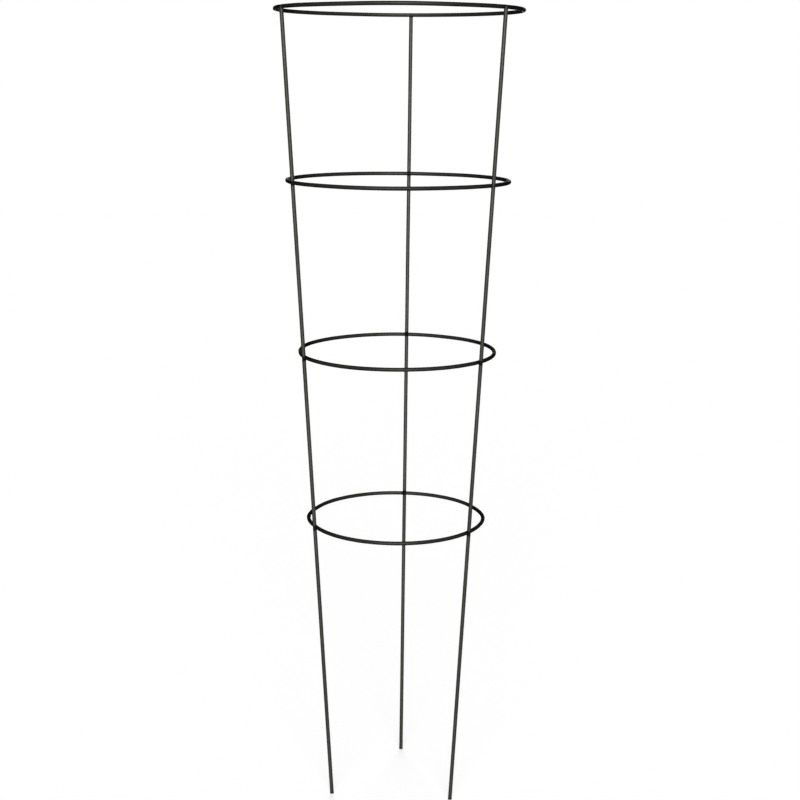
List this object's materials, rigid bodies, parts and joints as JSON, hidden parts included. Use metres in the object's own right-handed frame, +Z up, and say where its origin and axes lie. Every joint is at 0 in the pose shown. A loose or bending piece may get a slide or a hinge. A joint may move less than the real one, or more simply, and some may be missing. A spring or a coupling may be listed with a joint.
{
  "type": "tomato cage",
  "caption": "Tapered wire plant cage: round hoops that get smaller downwards, held by straight leaning legs that run on below as stakes.",
  "frame": {"origin": "on the cage's axis, the common axis of the hoops, level with the lower ends of the legs", "axes": "+Z up along the hoops' axis; +Y from the axis towards the back leg; +X to the right, seen from the front"},
  "size_m": [0.3218, 0.3253, 1.0677],
  "materials": {
    "hoop_wire": "dark weathered galvanised wire",
    "leg_wire": "dull grey galvanised wire",
    "weld": "scorched weld metal"
  },
  "bodies": {
    "root": {"top_hoop": "hoop_wire", "top_hoop_closing_weld": "weld", "top_hoop_leg_welds": "weld", "upper_middle_hoop": "hoop_wire", "upper_middle_hoop_closing_weld": "weld", "upper_middle_hoop_leg_welds": "weld", "lower_middle_hoop": "hoop_wire", "lower_middle_hoop_closing_weld": "weld", "lower_middle_hoop_leg_welds": "weld", "bottom_hoop": "hoop_wire", "bottom_hoop_closing_weld": "weld", "bottom_hoop_leg_welds": "weld", "back_leg": "leg_wire", "right_leg": "leg_wire", "left_leg": "leg_wire"}
  },
  "joints": []
}
